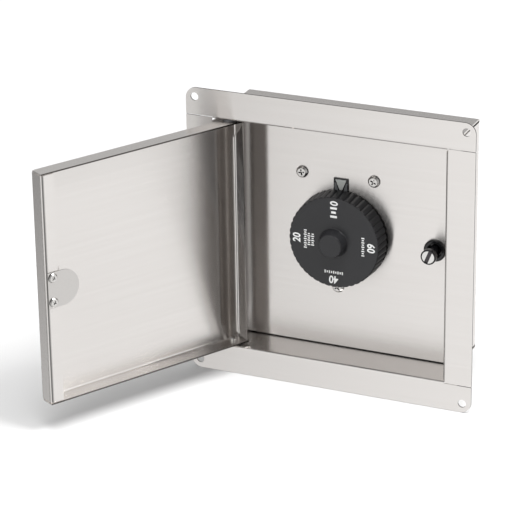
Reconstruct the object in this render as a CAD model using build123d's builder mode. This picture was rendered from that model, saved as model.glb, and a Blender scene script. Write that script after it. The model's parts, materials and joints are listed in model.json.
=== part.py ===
from build123d import *
import os
from math import asin, atan2, cos, degrees, pi, radians, sin

# A recessed stainless wall box with a hinged door and a wind-up 60-minute timer switch.
# Frame: X to the right, Z up, Y into the wall. The origin is the centre of the four wall
# screws on the wall plane, which is the back face of the flange. Millimetres.
# The door stands open at rest, at its stop, and the dial is at zero.

# ---- driving dimensions ----
sheet = 1.0  # all folded sheet
bend_in = 0.5
bend_out = bend_in + sheet
seam = 0.6

flange_size = 203.2
flange_corner = 7.5
hole_pitch = 190.5
wall_hole = 5.6

box_size = 165.1
box_depth = 61.0
corner_gap = 1.35  # open seam where two box walls meet

panel_y = 25.3  # front face of the timer panel, behind the wall plane
panel_gap = 0.9  # above and below the panel
panel_return = 18.0
rivet_dia = 3.2

door_width = 160.5
door_height = 160.6
door_depth = 12.2
door_bend = 2.4
door_lip = 9.5
hem_depth = 2.6
door_open = 119.2  # at its stop, from closed
hinge_inset = 8.0  # hinge axis from the door's hinge edge
hinge_depth = 5.0  # hinge axis behind the door's front face
door_proud = 0.7  # the closed door stands this far in front of the flange
pin_dia = 3.2

latch_x = 65.7
latch_z = 0.1
plunger_dia = 10.5
plunger_tip_y = 11.2
latch_barrel = 12.7
latch_bezel = 15.2

timer_x = -1.0
timer_z = 0.5
knob_front = 32.2
knob_back = 33.0
knob_y = 11.0
knob_back_y = 24.0
ribs = 44
boss_front = 8.1
boss_base = 9.9
boss_y = 3.6

spindle_dia = 6.35
plate = 1.2
movement_depth = 19.2  # between the two movement plates
wheel_module = 0.6
train_module = 0.5
great_teeth = 60
train_teeth = 48
pinion_teeth = 12
train_start = 150.0  # direction of the first arbor from the spindle, in degrees

fit = 0.05  # radial room round a shaft, screw or rivet
run_fit = 0.06  # radial room round a part that turns or slides

half_box = box_size / 2
inside = half_box - sheet
front = -sheet  # front face of the flange
back_inside = box_depth - sheet
panel_back = panel_y + sheet
plate_back = panel_back + plate
rear_plate_y = plate_back + movement_depth
terminal_y = rear_plate_y + plate
hinge_x = -door_width / 2 + hinge_inset
hinge_y = front - door_proud + hinge_depth
timer_spot = (timer_x, timer_z)
latch_spot = (latch_x, latch_z)

os.makedirs("parts", exist_ok=True)


# ---- shared helpers ----
def save(part, name):
    """Label a finished piece and write it as its own STEP file."""
    part.label = name
    export_step(part, f"parts/{name}.step")


def facing(y):
    """Plane parallel to the wall at depth y, seen from the front: local x is X, local y is Z."""
    return Plane.XZ.offset(-y)


def facing_back(y):
    """Plane parallel to the wall at depth y, seen from behind: local x is X, local y is down."""
    return Plane(origin=(0, y, 0), x_dir=(1, 0, 0), z_dir=(0, 1, 0))


def folded(plane, points, radii, side):
    """Section of a folded sheet: its visible face follows the points, the thickness is on one side."""
    with BuildSketch(plane) as section:
        with BuildLine():
            path = FilletPolyline(*points, radius=radii)
            offset(path, amount=sheet, side=side)
        make_face()
    return section.sketch


def bars(radius, y_front, y_back, spots, mode=Mode.ADD, taper=0):
    """Round bars along Y between two depths, or round holes, narrowing towards the front by the taper."""
    with BuildSketch(facing(y_back)) as section:
        with Locations(*spots):
            Circle(radius)
    extrude(section.sketch, amount=y_back - y_front, mode=mode, taper=taper)


def cross_screws(plane, spots, head, rim, crown, shank, length, recess, turn=0):
    """Domed cross-head screws that stand on a plane, their shanks behind it."""
    recess_depth = (rim + crown) * 0.62
    with BuildSketch(plane) as heads:
        with Locations(*spots):
            Circle(head / 2)
    extrude(heads.sketch, amount=rim)
    with BuildSketch(plane.offset(rim)) as crowns:
        with Locations(*spots):
            Circle(head / 2)
    extrude(crowns.sketch, amount=crown, taper=46)
    with BuildSketch(plane) as shanks:
        with Locations(*spots):
            Circle(shank / 2)
    extrude(shanks.sketch, amount=-length)
    with BuildSketch(plane.offset(rim + crown)) as crosses:
        for x, y in spots:
            with Locations(Location((x, y, 0), (0, 0, turn + x))):
                Rectangle(recess, recess * 0.24)
                Rectangle(recess * 0.24, recess)
    extrude(crosses.sketch, amount=-recess_depth, mode=Mode.SUBTRACT)


# ---- wall box ----
flange_start = inside + bend_out  # the flat of the flange begins here
overlap = 0.5  # the folded walls run this far into the flange plate, to join it
hat = [
    (flange_start + overlap, front),
    (inside, front),
    (inside, back_inside),
    (-inside, back_inside),
    (-inside, front),
    (-flange_start - overlap, front),
]
hat_radii = [bend_out, bend_in, bend_in, bend_out]
side_wall_half = inside - corner_gap
level_plane = Plane.XY
upright_plane = Plane(origin=(0, 0, 0), x_dir=(0, 0, 1), z_dir=(-1, 0, 0))  # local x is Z, local y is Y
gland_x = 40.0
gland_y = 43.0
gland_hole = 22.2
ground_spot = (-52.0, -58.0)
ground_dia = 4.0
rivet_spots = [(panel_back + 11.0, 55.0), (panel_back + 11.0, -55.0)]
through_sheet = 4 * sheet  # length of a cutter that clears one wall


def rivet_holes():
    """Rivet holes through both side walls, or through the panel's returns."""
    with BuildSketch(Plane.YZ) as holes:
        with Locations(*rivet_spots):
            Circle(rivet_dia / 2 + fit)
    extrude(holes.sketch, amount=box_size, both=True, mode=Mode.SUBTRACT)


with BuildPart() as wall_box:
    extrude(folded(upright_plane, hat, hat_radii, Side.RIGHT), amount=half_box, both=True)
    with BuildSketch(facing(back_inside)):
        with Locations((half_box, 0), (-half_box, 0)):
            Rectangle(2 * bend_out, 2 * side_wall_half)
    extrude(amount=-2 * sheet, mode=Mode.SUBTRACT)
    extrude(folded(level_plane, hat, hat_radii, Side.RIGHT), amount=side_wall_half, both=True)
    with BuildSketch(Plane.XZ):
        RectangleRounded(flange_size, flange_size, flange_corner)
        Rectangle(2 * flange_start, 2 * flange_start, mode=Mode.SUBTRACT)
        with Locations(*[(a * flange_size / 2, b * half_box) for a in (-1, 1) for b in (-1, 1)]):
            Rectangle(flange_size - 2 * flange_start, seam, mode=Mode.SUBTRACT)
        with GridLocations(hole_pitch, hole_pitch, 2, 2):
            Circle(wall_hole / 2, mode=Mode.SUBTRACT)
    extrude(amount=sheet)
    # hinge pin holes in the top and bottom walls, and the cable entry in the bottom one
    with Locations((hinge_x, hinge_y, half_box), (hinge_x, hinge_y, -half_box)):
        Cylinder(pin_dia / 2 + run_fit, through_sheet, mode=Mode.SUBTRACT)
    with Locations((gland_x, gland_y, -half_box)):
        Cylinder(gland_hole / 2, through_sheet, mode=Mode.SUBTRACT)
    bars(ground_dia / 2, back_inside - sheet, box_depth + sheet, [ground_spot], Mode.SUBTRACT)
    rivet_holes()
save(wall_box.part, "wall_box")

# ---- timer panel ----
panel_path = [
    (inside, panel_y + panel_return),
    (inside, panel_y),
    (-inside, panel_y),
    (-inside, panel_y + panel_return),
]
screw_shift = -2.5  # the screw pattern's centre, sideways of the spindle
screw_span = 51.4
screw_rise = 41.8
screw_drop = -37.6
screw_shank = 4.0
screw_spots = [
    (timer_x + screw_shift - screw_span / 2, timer_z + screw_rise),
    (timer_x + screw_shift + screw_span / 2, timer_z + screw_rise),
    (timer_x + screw_shift, timer_z + screw_drop),
]
bushing_dia = 9.5

with BuildPart() as timer_panel:
    extrude(
        folded(level_plane, panel_path, bend_out, Side.RIGHT),
        amount=inside - panel_gap,
        both=True,
    )
    bars(screw_shank / 2 + fit, panel_y - sheet, panel_back + sheet, screw_spots, Mode.SUBTRACT)
    bars(bushing_dia / 2 + fit, panel_y - sheet, panel_back + sheet, [timer_spot], Mode.SUBTRACT)
    bars(latch_barrel / 2 + fit, panel_y - sheet, panel_back + sheet, [latch_spot], Mode.SUBTRACT)
    rivet_holes()
save(timer_panel.part, "timer_panel")

rivet_head = 0.9
rivet_tail = 1.8
with BuildPart() as panel_rivets:
    for hand in (-1, 1):
        outward = Plane(origin=(hand * half_box, 0, 0), x_dir=(0, 1, 0), z_dir=(hand, 0, 0))
        spots = [(y, hand * z) for y, z in rivet_spots]
        with BuildSketch(outward.offset(-2 * sheet)):
            with Locations(*spots):
                Circle(rivet_dia / 2)
        extrude(amount=2 * sheet)
        with BuildSketch(outward):
            with Locations(*spots):
                Circle(rivet_dia)
        extrude(amount=rivet_head, taper=35)
        with BuildSketch(outward.offset(-2 * sheet)):
            with Locations(*spots):
                Circle(rivet_dia * 0.75)
        extrude(amount=-rivet_tail, taper=20)
save(panel_rivets.part, "panel_rivets")

# ---- door, built on a plane that turns with it ----
swing = radians(-door_open)
door = Plane(origin=(hinge_x, hinge_y, 0), x_dir=(cos(swing), sin(swing), 0), z_dir=(0, 0, 1))
door_edge = -hinge_inset  # local x of the hinge edge
door_end = door_width - hinge_inset
door_middle = (door_edge + door_end) / 2
door_front = -hinge_depth  # local y of the front face
door_back = door_depth - hinge_depth
door_half = door_height / 2


def on_door(x, y, z=0.0):
    """A point in the room from local x along the door, y through its depth and z up."""
    return door.from_local_coords((x, y, z))


def door_facing(y):
    """Plane parallel to the door's face at local depth y, seen from in front of the closed door."""
    return Plane(origin=on_door(0, y), x_dir=door.x_dir, z_dir=-door.y_dir)


lip_section = [
    (door_edge + door_lip, door_back - hem_depth),
    (door_edge + door_lip, door_back),
    (door_edge, door_back),
    (door_edge, door_front),
    (door_end, door_front),
    (door_end, door_back),
    (door_end - door_lip, door_back),
]
wall_section = [
    (door_back, door_half),
    (door_front, door_half),
    (door_front, -door_half),
    (door_back, -door_half),
]
across_door = Plane(origin=on_door(door_middle, 0), x_dir=door.y_dir, z_dir=door.x_dir)
lip_half = door_half - sheet - 0.5  # half the height of the two upright sides
strike_screw_spots = [(door_end - 5.0, latch_z + 8.5), (door_end - 5.0, latch_z - 8.5)]
strike_screw_dia = 3.0

with BuildPart() as door_tray:
    extrude(
        folded(door, lip_section, [bend_out, door_bend, door_bend, door_bend, door_bend], Side.LEFT),
        amount=lip_half,
        both=True,
    )
    # the hinge side's lip is mitred at both ends
    with BuildSketch(door_facing(door_back)):
        for hand in (-1, 1):
            Polygon(
                (door_edge + bend_out, hand * lip_half),
                (door_edge + door_lip + sheet, hand * lip_half),
                (door_edge + door_lip + sheet, hand * (lip_half - door_lip)),
                align=None,
            )
    extrude(amount=hem_depth + seam, mode=Mode.SUBTRACT)
    extrude(
        folded(across_door, wall_section, door_bend, Side.LEFT),
        amount=door_width / 2 - door_bend,
        both=True,
    )
    # the ends of the top and bottom walls, beside the upright sides' corners
    for level in (door_half - sheet, -door_half):
        with BuildSketch(door.offset(level)):
            with Locations((door_middle, (door_bend + door_front + door_back) / 2)):
                Rectangle(door_width, door_depth - door_bend)
        extrude(amount=sheet)
    for level in (door_half, -door_half):
        with Locations(on_door(0, 0, level)):
            Cylinder(pin_dia / 2, through_sheet, mode=Mode.SUBTRACT)
    with BuildSketch(door_facing(door_back)):
        with Locations(*strike_screw_spots):
            Circle(strike_screw_dia / 2)
    extrude(amount=3 * sheet, both=True, mode=Mode.SUBTRACT)
save(door_tray.part, "door_tray")

# ---- hinge pins, washers and clips ----
pin_head = 4.4
pin_head_height = 2.2
pin_eye = 1.0  # radius of the dimple in the head
clip_gap = 0.4  # between the box wall and the clip
clip_thick = 0.8
groove_depth = 0.5
pin_tail = 1.0  # beyond the clip
clip_z = half_box + clip_gap
washer_radius = 4.0
washer_gap = inside - door_half


def hinge_pin(hand):
    """Headed pin through the door wall and the box wall, its head inside the door."""
    seat = door.offset(hand * (door_half - sheet))
    with BuildPart() as pin:
        with BuildSketch(seat):
            Circle(pin_dia / 2)
        extrude(amount=hand * (clip_z + clip_thick + pin_tail - door_half + sheet))
        with BuildSketch(seat):
            Circle(pin_head / 2)
        extrude(amount=-hand * pin_head_height)
        chamfer(pin.edges().group_by(Axis.Z)[0 if hand > 0 else -1], 0.5)
        with BuildSketch(door.offset(hand * (door_half - sheet - pin_head_height))):
            Circle(pin_eye)
        extrude(amount=hand * pin_eye, mode=Mode.SUBTRACT)
        with BuildSketch(door.offset(hand * clip_z)):
            Circle(pin_dia)
            Circle(pin_dia / 2 - groove_depth, mode=Mode.SUBTRACT)
        extrude(amount=hand * clip_thick, mode=Mode.SUBTRACT)
    return pin.part


save(hinge_pin(1), "upper_hinge_pin")
save(hinge_pin(-1), "lower_hinge_pin")

with BuildPart() as hinge_washers:
    for level in (door_half, -inside):
        with BuildSketch(door.offset(level)):
            Circle(washer_radius)
            Circle(pin_dia / 2 + fit, mode=Mode.SUBTRACT)
        extrude(amount=washer_gap - 2 * fit)
save(hinge_washers.part, "hinge_washers")

clip_radius = 2.6
clip_mouth = 1.6
with BuildPart() as hinge_clips:
    for level in (clip_z, -clip_z - clip_thick):
        with BuildSketch(door.offset(level)):
            Circle(clip_radius)
            Circle(pin_dia / 2 - groove_depth, mode=Mode.SUBTRACT)
            with Locations((clip_radius, 0)):
                Rectangle(2 * clip_radius, clip_mouth, mode=Mode.SUBTRACT)
        extrude(amount=clip_thick)
save(hinge_clips.part, "hinge_clips")

# ---- strike plate on the door's free edge ----
strike_radius = 12.4
strike_thick = 0.5
strike_end = door_end - 1.2
strike_x = strike_end - strike_radius * 0.9
with BuildPart() as strike_plate:
    with BuildSketch(door_facing(door_back + strike_thick)):
        with Locations((strike_x, latch_z)):
            Circle(strike_radius)
        with Locations(((strike_x + strike_end) / 2, latch_z)):
            Rectangle(strike_end - strike_x, 2 * strike_radius)
        with Locations((strike_end + strike_radius, latch_z)):
            Rectangle(2 * strike_radius, 3 * strike_radius, mode=Mode.SUBTRACT)
        with Locations(*strike_screw_spots):
            Circle(strike_screw_dia / 2, mode=Mode.SUBTRACT)
    extrude(amount=strike_thick)
save(strike_plate.part, "strike_plate")

strike_face = Plane(origin=on_door(0, door_back + strike_thick), x_dir=door.x_dir, z_dir=door.y_dir)
with BuildPart() as strike_screws:
    cross_screws(
        strike_face,
        [(x, -z) for x, z in strike_screw_spots],
        head=6.4,
        rim=0.5,
        crown=0.7,
        shank=strike_screw_dia,
        length=4.0,
        recess=2.8,
    )
save(strike_screws.part, "strike_screws")

# ---- push latch ----
latch_rear = panel_back + 24.0
housing_end = 1.2  # thickness of the housing's rear wall
bezel_thick = 2.4
plunger_rear = plunger_tip_y + 30.0
cap_length = 3.4
neck_radius = 3.7
guide_y = panel_back + 1.0  # the plunger is full width again from here to its rear
tip_radius = plunger_dia / 2 - 0.95
tip_depth = 2.6
spring_bore = 3.85
spring_bore_y = guide_y + 2.5

with BuildPart() as latch_housing:
    bars(latch_barrel / 2, panel_y, latch_rear, [latch_spot])
    bars(latch_bezel / 2, panel_y - bezel_thick, panel_y, [latch_spot])
    chamfer(latch_housing.edges().group_by(Axis.Y)[0].sort_by(Edge.length)[-1], 0.7)
    bars(
        plunger_dia / 2 + run_fit,
        panel_y - 2 * bezel_thick,
        latch_rear - housing_end,
        [latch_spot],
        Mode.SUBTRACT,
    )
save(latch_housing.part, "latch_housing")

nut_thick = 3.0
with BuildPart() as latch_nut:
    with BuildSketch(facing(panel_back + nut_thick)):
        with Locations(latch_spot):
            RegularPolygon(9.5, 6)
            Circle(latch_barrel / 2 + fit, mode=Mode.SUBTRACT)
    extrude(amount=nut_thick)
save(latch_nut.part, "latch_nut")

with BuildPart() as latch_plunger:
    bars(plunger_dia / 2, plunger_tip_y, plunger_tip_y + cap_length, [latch_spot])
    bars(neck_radius, plunger_tip_y + cap_length, guide_y, [latch_spot])
    bars(plunger_dia / 2, guide_y, plunger_rear, [latch_spot])
    chamfer(latch_plunger.edges().group_by(Axis.Y)[0], 0.3)
    bars(tip_radius, plunger_tip_y, plunger_tip_y + tip_depth, [latch_spot], Mode.SUBTRACT)
    bars(spring_bore, spring_bore_y, plunger_rear, [latch_spot], Mode.SUBTRACT)
save(latch_plunger.part, "latch_plunger")

magnet_width = 2.6
magnet_tilt = 68.0
magnet_inset = 0.6
pole_inset = 0.1


def latch_insert(inset, keep_magnet):
    """The tip's round core, cut into the magnet bar in the middle or the two poles beside it."""
    with BuildPart() as core:
        with BuildSketch(facing(plunger_tip_y + tip_depth)):
            with Locations(latch_spot):
                Circle(tip_radius - fit)
            with Locations(Location((latch_x, latch_z, 0), (0, 0, magnet_tilt))):
                Rectangle(
                    plunger_dia, magnet_width, mode=Mode.INTERSECT if keep_magnet else Mode.SUBTRACT
                )
        extrude(amount=tip_depth - inset)
    return core.part


save(latch_insert(magnet_inset, True), "latch_magnet")
save(latch_insert(pole_inset, False), "latch_poles")

spring_rear = latch_rear - housing_end
spring_turns = 8
spring_wire = 0.35
spring_radius = 3.1
spring_reach = spring_rear - spring_bore_y - 3 * spring_wire
with BuildPart() as latch_spring:
    with BuildLine() as coil:
        Helix(
            pitch=spring_reach / spring_turns,
            height=spring_reach,
            radius=spring_radius,
            center=(latch_x, spring_rear - 1.5 * spring_wire, latch_z),
            direction=(0, -1, 0),
        )
    with BuildSketch(Plane(origin=coil.line @ 0, z_dir=coil.line % 0)):
        Circle(spring_wire)
    sweep(path=coil.line)
save(latch_spring.part, "latch_spring")

# ---- dial knob ----
knob_wall = 2.6
rib_radius = 3.0
rib_rise = 1.4  # from the plain rim below the ribs to their tips
rim_round = 1.2
boss_round = 0.9
hub_radius = 7.5
hub_bore = 5.0
hub_front = boss_y + 2.5
set_screw_y = knob_back_y - 5.0
set_screw_dia = 3.0
timer_axis = Axis((timer_x, 0, timer_z), (0, 1, 0))
timer_side = Plane(origin=(timer_x, 0, timer_z), x_dir=(1, 0, 0), z_dir=(0, 0, 1))  # local y is Y


def ribbed(y, reach):
    """Outline of the knob's rim at depth y: rounded ribs side by side, their tips at this radius."""
    with BuildSketch(facing(y)) as outline:
        with Locations(timer_spot):
            Circle(reach - rib_rise)
            with PolarLocations(reach - rib_radius, ribs):
                Circle(rib_radius)
    return outline.sketch.face()


with BuildPart() as dial_knob:
    loft([ribbed(knob_back_y, knob_back), ribbed(knob_y, knob_front)], ruled=True)
    # round the rim's front edge
    with BuildSketch(timer_side):
        with BuildLine():
            FilletPolyline(
                (0, knob_y),
                (knob_front + fit, knob_y),
                (knob_back + fit, knob_back_y),
                (0, knob_back_y),
                radius=[rim_round, bend_in],
            )
            Line((0, knob_back_y), (0, knob_y))
        make_face()
    revolve(axis=timer_axis, mode=Mode.INTERSECT)
    # centre boss
    with BuildSketch(timer_side):
        with BuildLine():
            FilletPolyline(
                (0, boss_y),
                (boss_front, boss_y),
                (boss_base, knob_y),
                (boss_base + 2 * boss_round, knob_y),
                radius=boss_round,
            )
            Polyline(
                (boss_base + 2 * boss_round, knob_y),
                (boss_base + 2 * boss_round, knob_y + sheet),
                (0, knob_y + sheet),
                (0, boss_y),
            )
        make_face()
    revolve(axis=timer_axis)
    # hollow behind, with a hub for the insert
    with BuildSketch(facing(knob_back_y)):
        with Locations(timer_spot):
            Circle(knob_front - knob_wall)
            Circle(hub_radius, mode=Mode.SUBTRACT)
    extrude(amount=knob_back_y - knob_y - knob_wall, mode=Mode.SUBTRACT)
    bars(hub_bore, hub_front, knob_back_y, [timer_spot], Mode.SUBTRACT)
    with Locations((timer_x, set_screw_y, timer_z + (hub_bore + hub_radius) / 2)):
        Cylinder(set_screw_dia / 2, 2 * (hub_radius - hub_bore), mode=Mode.SUBTRACT)
save(dial_knob.part, "dial_knob")

# ---- knob insert and its set screw ----
insert_back = knob_back_y - 0.4
spindle_front = hub_front + 2.0
flat_height = 2.4  # the spindle's flat, above its axis
flat_end = insert_back + 1.0


def spindle_section():
    """Round spindle with one flat on top."""
    with Locations(timer_spot):
        Circle(spindle_dia / 2)
    with Locations((timer_x, timer_z + flat_height + spindle_dia)):
        Rectangle(2 * spindle_dia, 2 * spindle_dia, mode=Mode.SUBTRACT)


with BuildPart() as knob_insert:
    bars(hub_bore - fit, hub_front, insert_back, [timer_spot])
    with BuildSketch(facing(insert_back)):
        spindle_section()
    extrude(amount=insert_back - spindle_front + fit, mode=Mode.SUBTRACT)
    with Locations((timer_x, set_screw_y, timer_z + flat_height + hub_bore / 2)):
        Cylinder(set_screw_dia / 2, hub_bore, mode=Mode.SUBTRACT)
save(knob_insert.part, "knob_insert")

set_screw_length = 4.6
socket_radius = 0.8
with BuildPart() as knob_set_screw:
    with BuildSketch(Plane(origin=(timer_x, set_screw_y, timer_z + flat_height))):
        Circle(set_screw_dia / 2 - fit)
    extrude(amount=set_screw_length)
    with BuildSketch(Plane(origin=(timer_x, set_screw_y, timer_z + flat_height + set_screw_length))):
        RegularPolygon(socket_radius, 6)
    extrude(amount=-2 * socket_radius, mode=Mode.SUBTRACT)
save(knob_set_screw.part, "knob_set_screw")

# ---- index tag above the knob ----
tag_x = timer_x - 0.2
tag_width = 10.4
tag_top = timer_z + 41.0
tag_bottom = timer_z + 27.0
tag_thick = 0.8
arrow_half = 3.9
arrow_rise = 0.15
with BuildPart() as index_plate:
    with BuildSketch(facing(panel_y)):
        with Locations((tag_x, (tag_top + tag_bottom) / 2)):
            RectangleRounded(tag_width, tag_top - tag_bottom, 0.5)
    extrude(amount=tag_thick)
save(index_plate.part, "index_plate")

with BuildPart() as index_arrow:
    with BuildSketch(facing(panel_y - tag_thick)):
        Polygon(
            (tag_x - arrow_half, tag_top - 1.0),
            (tag_x + arrow_half, tag_top - 1.0),
            (tag_x, tag_top - 10.5),
            align=None,
        )
    extrude(amount=arrow_rise)
save(index_arrow.part, "index_arrow")

# ---- timer screws through the panel into the movement ----
with BuildPart() as timer_screws:
    cross_screws(
        facing(panel_y),
        screw_spots,
        head=8.2,
        rim=0.9,
        crown=1.2,
        shank=screw_shank,
        length=6.5,
        recess=4.2,
        turn=40,
    )
save(timer_screws.part, "timer_screws")

# ---- clockwork: where each arbor stands ----
mesh_slack = 0.1  # added to each centre distance
wheel_thick = 0.9
hub_rise = 0.8  # each wheel's hub behind its face
train_hub = 2.6
great_hub = 5.0
arbor_dia = 2.0
pivot_radius = 0.6
pivot_gap = 0.3  # end float between an arbor's shoulders and the plates
pinion_long = 1.9
first_reach = (great_teeth + pinion_teeth) * wheel_module / 2 + mesh_slack
train_reach = (train_teeth + pinion_teeth) * train_module / 2 + mesh_slack
train_step = 2 * degrees(asin(train_reach / 2 / first_reach))
pallet_reach = 10.5
pallet_step = 2 * degrees(asin(pallet_reach / 2 / first_reach))


def on_ring(angle):
    """Point at the train's common distance from the spindle, on the movement's plates."""
    turn = radians(angle)
    return (timer_x + first_reach * cos(turn), timer_z + first_reach * sin(turn))


def polar(centre, radius, angle):
    """Point at a distance and a direction in degrees from a centre."""
    return (centre[0] + radius * cos(radians(angle)), centre[1] + radius * sin(radians(angle)))


def heading(start, end):
    """Direction in degrees from one arbor to another."""
    return degrees(atan2(end[1] - start[1], end[0] - start[0]))


first_spot = on_ring(train_start)
second_spot = on_ring(train_start + train_step)
escape_spot = on_ring(train_start + 2 * train_step)
pallet_spot = on_ring(train_start + 2 * train_step + pallet_step)
to_first = heading(timer_spot, first_spot)
to_second = heading(first_spot, second_spot)
to_escape = heading(second_spot, escape_spot)
to_pallet = heading(escape_spot, pallet_spot)
half_tooth = 180 / pinion_teeth

# depths of the layers behind the panel
spring_y = plate_back + 1.4
spring_width = 4.6
great_y = plate_back + 6.9
first_wheel_y = great_y + 2.6
second_wheel_y = first_wheel_y + 2.4
escape_y = second_wheel_y + 2.5
cam_y = second_wheel_y + 0.6
lever_y = escape_y + 1.6


def gear_outline(spot, teeth, module, tooth_at):
    """Clock gear with straight-sided teeth, one tooth centred on the direction tooth_at."""
    pitch = teeth * module / 2
    dedendum, addendum = -1.1, 0.6
    root, flank, tip = 0.6, 0.35, 0.15  # half widths of a tooth, in modules
    rising = [(dedendum, -root), (0, -flank), (addendum, -tip)]
    falling = [(rise, -half) for rise, half in reversed(rising)]
    points = []
    for tooth in range(teeth):
        middle = tooth_at + tooth * 360 / teeth
        for rise, half in rising + falling:
            radius = pitch + rise * module
            points.append(polar(spot, radius, middle + degrees(half * module / radius)))
    Polygon(*points, align=None)


def wheel(spot, teeth, module, y, tooth_at, hub, bore):
    """Spoked wheel whose front face is at depth y, with a hub behind it."""
    rim = teeth * module / 2 - 1.1 * module - 1.6
    spoke = 2.2
    with BuildPart() as gear:
        with BuildSketch(facing(y + wheel_thick)):
            gear_outline(spot, teeth, module, tooth_at)
            with Locations(spot):
                Circle(rim, mode=Mode.SUBTRACT)
                Circle(hub)
                with PolarLocations(rim / 2, 4):
                    Rectangle(rim + sheet, spoke)
        extrude(amount=wheel_thick)
        bars(hub, y + wheel_thick, y + wheel_thick + hub_rise, [spot])
        bars(bore, y - sheet, y + wheel_thick + 2 * hub_rise, [spot], Mode.SUBTRACT)
    return gear.part


def arbor(spot, pinion_module=0, pinion_y=0, tooth_at=0):
    """Arbor with a thin pivot at each end, and its pinion cut in one piece where it has one."""
    with BuildPart() as shaft:
        bars(pivot_radius, plate_back - plate, rear_plate_y + plate, [spot])
        bars(arbor_dia / 2, plate_back + pivot_gap, rear_plate_y - pivot_gap, [spot])
        if pinion_module:
            with BuildSketch(facing(pinion_y + pinion_long)):
                gear_outline(spot, pinion_teeth, pinion_module, tooth_at)
            extrude(amount=pinion_long)
    return shaft.part


def train_wheel(spot, y, tooth_at):
    """One of the two smaller wheels on a plain arbor."""
    return wheel(spot, train_teeth, train_module, y, tooth_at, train_hub, arbor_dia / 2 + fit)


great_bore = spindle_dia / 2 + fit
pinion_lead = 0.5  # a pinion starts this far in front of the wheel that drives it
meshing = 180 + half_tooth  # a pinion's gap faces the tooth of the wheel that drives it
save(wheel(timer_spot, great_teeth, wheel_module, great_y, to_first, great_hub, great_bore), "great_wheel")
save(arbor(first_spot, wheel_module, great_y - pinion_lead, to_first + meshing), "first_arbor")
save(train_wheel(first_spot, first_wheel_y, to_second), "first_wheel")
save(arbor(second_spot, train_module, first_wheel_y - pinion_lead, to_second + meshing), "second_arbor")
save(train_wheel(second_spot, second_wheel_y, to_escape), "second_wheel")
save(arbor(escape_spot, train_module, second_wheel_y - pinion_lead, to_escape + meshing), "escape_arbor")

# ---- escape wheel and pallet lever ----
escape_teeth = 16
escape_tip = 7.0
escape_root = 5.3
escape_pitch = 360 / escape_teeth
pallet_pin = 0.35
pin_circle = escape_tip + 0.75
pin_spread = 1.75 * escape_pitch  # each pallet pin from the line of centres
hooked_tooth = [(escape_root, -7.5), (escape_tip, -1.2), (escape_tip, 1.2), (escape_root, 2.9)]
with BuildPart() as escape_wheel:
    with BuildSketch(facing(escape_y + wheel_thick)):
        points = []
        for tooth in range(escape_teeth):
            # the tips straddle both pins, a quarter of a pitch off centre
            middle = to_pallet + pin_spread + (tooth + 0.25) * escape_pitch
            points += [polar(escape_spot, radius, middle + side) for radius, side in hooked_tooth]
        Polygon(*points, align=None)
        with Locations(escape_spot):
            with PolarLocations(3.4, 5):
                Circle(0.9, mode=Mode.SUBTRACT)
            Circle(arbor_dia / 2 + fit, mode=Mode.SUBTRACT)
    extrude(amount=wheel_thick)
save(escape_wheel.part, "escape_wheel")

lever_thick = 0.8
lever_boss = 1.8
lever_end = 0.9
lever_tail = 1.4
weight_radius = 3.0
weight_spot = polar(pallet_spot, 8.5, to_pallet)
pin_spots = [polar(escape_spot, pin_circle, to_pallet + hand * pin_spread) for hand in (-1, 1)]
with BuildPart() as pallet_lever:
    for end, boss_radius, end_radius in (
        (pin_spots[0], lever_boss, lever_end),
        (pin_spots[1], lever_boss, lever_end),
        (weight_spot, lever_tail, lever_tail),
    ):
        with BuildSketch(facing(lever_y + lever_thick)):
            with Locations(pallet_spot):
                Circle(boss_radius)
            with Locations(end):
                Circle(end_radius)
            make_hull()
        extrude(amount=lever_thick)
    bars(weight_radius, lever_y - lever_thick, lever_y + 2 * lever_thick, [weight_spot])
    bars(pallet_pin, escape_y - 0.2, lever_y, pin_spots)
    bars(arbor_dia / 2 + fit, lever_y - sheet, lever_y + 2 * sheet, [pallet_spot], Mode.SUBTRACT)
save(pallet_lever.part, "pallet_lever")
save(arbor(pallet_spot), "pallet_staff")

# ---- spindle, its hub for the mainspring, the cam and the end clip ----
spindle_end = terminal_y + 2.6
clip_y = terminal_y + 1.4
clip_groove = 0.6
with BuildPart() as timer_spindle:
    with BuildSketch(facing(flat_end)):
        spindle_section()
    extrude(amount=flat_end - spindle_front)
    bars(spindle_dia / 2, flat_end, spindle_end, [timer_spot])
    with BuildSketch(facing(clip_y + clip_thick)):
        with Locations(timer_spot):
            Circle(spindle_dia)
            Circle(spindle_dia / 2 - clip_groove, mode=Mode.SUBTRACT)
    extrude(amount=clip_thick, mode=Mode.SUBTRACT)
save(timer_spindle.part, "timer_spindle")

spindle_clip_radius = 5.2
with BuildPart() as spindle_clip:
    with BuildSketch(facing(clip_y + clip_thick)):
        with Locations(timer_spot):
            Circle(spindle_clip_radius)
            Circle(spindle_dia / 2 - clip_groove + fit, mode=Mode.SUBTRACT)
        with Locations((timer_x, timer_z - spindle_clip_radius)):
            Rectangle(2.4, 2 * spindle_clip_radius, mode=Mode.SUBTRACT)
    extrude(amount=clip_thick)
save(spindle_clip.part, "spindle_clip")

spring_hub_radius = 6.0
with BuildPart() as spring_hub:
    bars(spring_hub_radius, spring_y, great_y, [timer_spot])
    bars(great_bore, spring_y - sheet, great_y + sheet, [timer_spot], Mode.SUBTRACT)
save(spring_hub.part, "spring_hub")

cam_radius = 8.0
cam_thick = 2.4
cam_collar = 4.6
with BuildPart() as switch_cam:
    bars(cam_collar, great_y + wheel_thick + hub_rise, cam_y, [timer_spot])
    bars(cam_radius, cam_y, cam_y + cam_thick, [timer_spot])
    bars(great_bore, great_y, cam_y + 2 * cam_thick, [timer_spot], Mode.SUBTRACT)
    # the dip that opens the contacts at zero, opposite the follower
    bars(2.0, cam_y, cam_y + cam_thick, [(timer_x + cam_radius + 0.6, timer_z)], Mode.SUBTRACT)
save(switch_cam.part, "switch_cam")

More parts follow.
